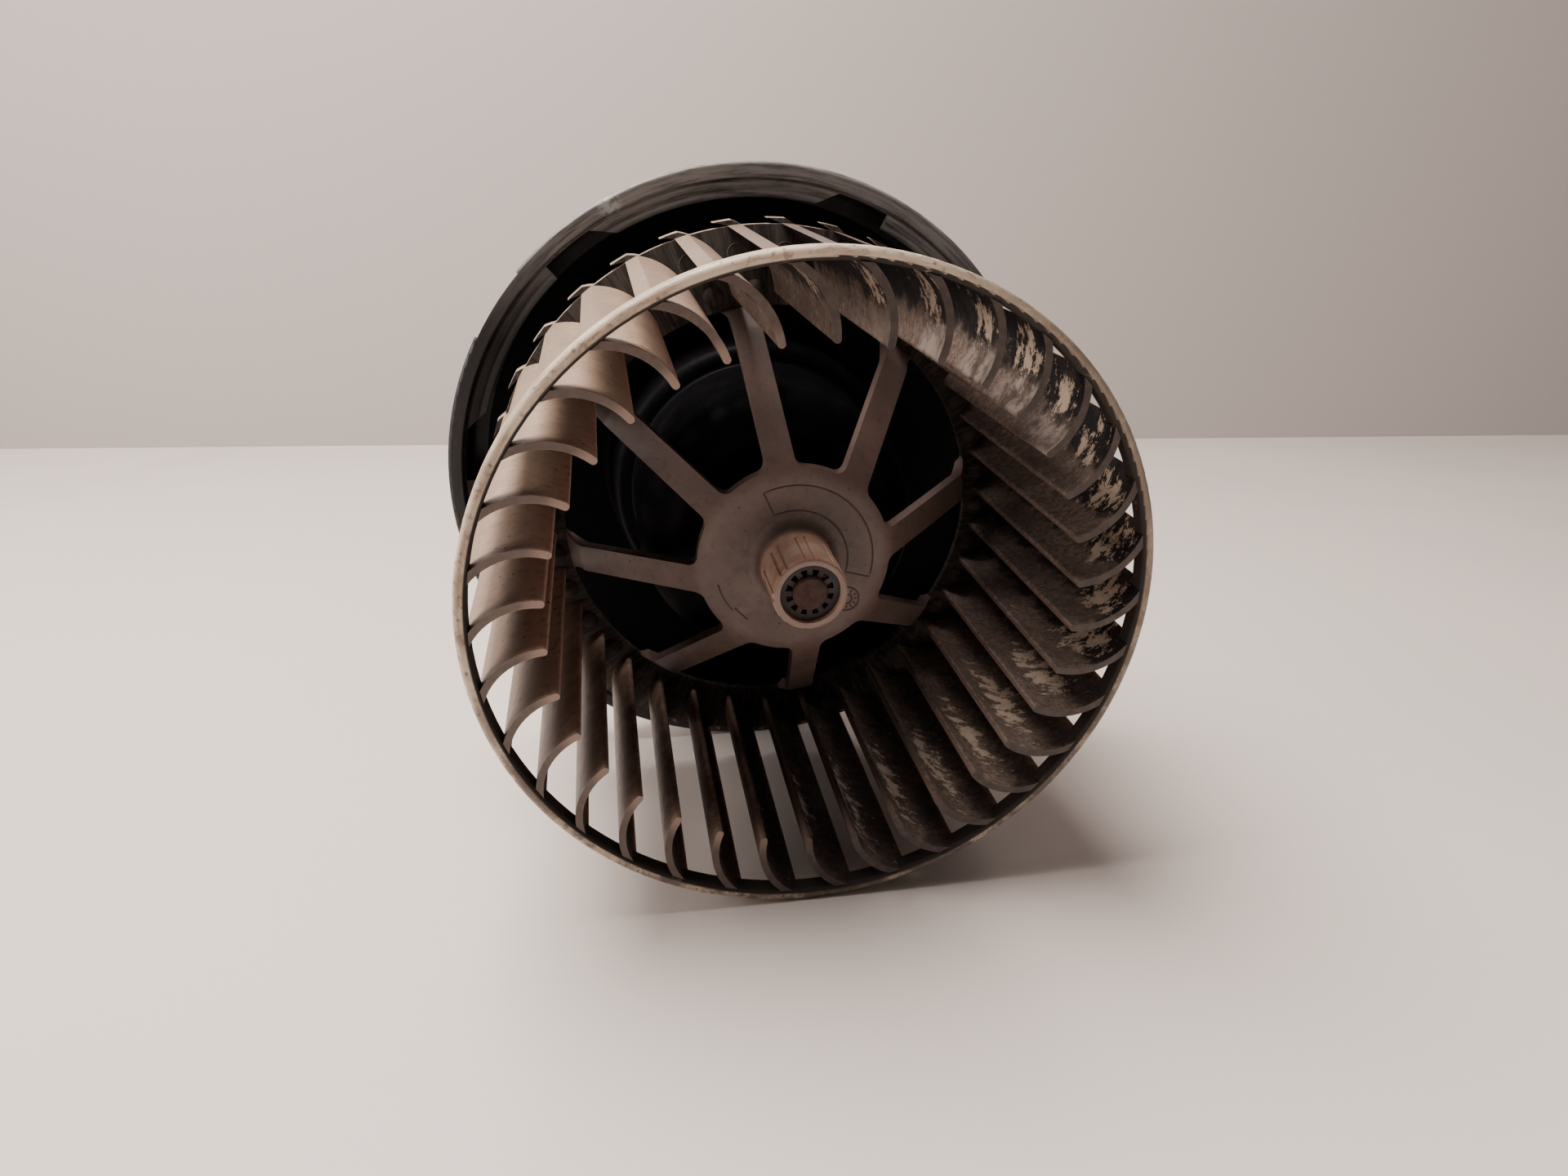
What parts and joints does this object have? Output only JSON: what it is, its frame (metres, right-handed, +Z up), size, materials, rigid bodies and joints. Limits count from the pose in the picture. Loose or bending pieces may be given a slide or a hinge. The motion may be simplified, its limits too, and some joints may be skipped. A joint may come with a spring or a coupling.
{
  "type": "heater blower",
  "caption": "Squirrel-cage blower wheel on a small electric motor, in a round dished plastic holder with a notched locking rim and a plug socket at the back.",
  "frame": {"origin": "on the shaft's axis, in the middle plane of the holder's rim", "axes": "+Y along the shaft, rearwards from the air inlet to the motor; +Z up, +X to the right seen from the inlet"},
  "size_m": [0.1742, 0.1575, 0.1742],
  "materials": {
    "wheel_pp": "satin, dirty",
    "holder_black": "satin",
    "cover_black": "satin",
    "connector_black": "satin",
    "lock_ring_steel": "blackened",
    "shaft_steel": "rusty",
    "lamination_steel": "lacquered",
    "copper": "enamelled",
    "copper_bars": "worn",
    "phenolic": "matte",
    "fibre_washer": "matte",
    "can_zinc": "zinc plated",
    "end_bell_zinc": "zinc plated",
    "bronze": "sintered",
    "felt": "oiled",
    "spring_steel": "plain",
    "ferrite": "ground",
    "brass_sheet": "plain",
    "carbon": "graphite",
    "choke": "varnished",
    "terminal_tin": "tinned",
    "rubber": "matte",
    "screw_zinc": "zinc plated"
  },
  "bodies": {
    "holder": {"motor_can": "can_zinc", "end_bell": "end_bell_zinc", "front_bearing": "bronze", "rear_bearing": "bronze", "oil_felts": "felt", "bearing_clips": "spring_steel", "field_magnets": "ferrite", "magnet_clips": "spring_steel", "brush_plate": "phenolic", "brush_boxes": "brass_sheet", "upper_brush_spring": "spring_steel", "lower_brush_spring": "spring_steel", "suppression_chokes": "choke", "terminal_blades": "terminal_tin", "front_isolators": "rubber", "rear_isolators": "rubber", "holder_rim": "holder_black", "holder_floor": "holder_black", "motor_bell": "holder_black", "motor_well": "holder_black", "holder_ribs": "holder_black", "rear_cover": "cover_black", "connector_housing": "connector_black", "cover_screws": "screw_zinc"},
    "rotor": {"wheel_front_ring": "wheel_pp", "wheel_blades": "wheel_pp", "wheel_rear_plate": "wheel_pp", "wheel_spokes": "wheel_pp", "wheel_hub": "wheel_pp", "hub_lock_ring": "lock_ring_steel", "motor_shaft": "shaft_steel", "armature_core": "lamination_steel", "armature_windings": "copper", "commutator_core": "phenolic", "commutator_bars": "copper_bars", "thrust_washers": "fibre_washer"},
    "upper_brush": {"upper_brush": "carbon"},
    "lower_brush": {"lower_brush": "carbon"}
  },
  "joints": [
    {"name": "rotor_spin", "type": "hinge", "parent": "holder", "child": "rotor", "pos_m": [0, 0, 0], "axis": [0, -1, 0], "continuous": true},
    {"name": "upper_brush_slide", "type": "slide", "parent": "holder", "child": "upper_brush", "axis": [0, 0, 1], "range_m": [0, 0.002], "stiffness_N_per_m": 150, "springref_m": -0.006, "deforming": ["upper_brush_spring"]},
    {"name": "lower_brush_slide", "type": "slide", "parent": "holder", "child": "lower_brush", "axis": [0, 0, -1], "range_m": [0, 0.002], "stiffness_N_per_m": 150, "springref_m": -0.006, "deforming": ["lower_brush_spring"]}
  ]
}
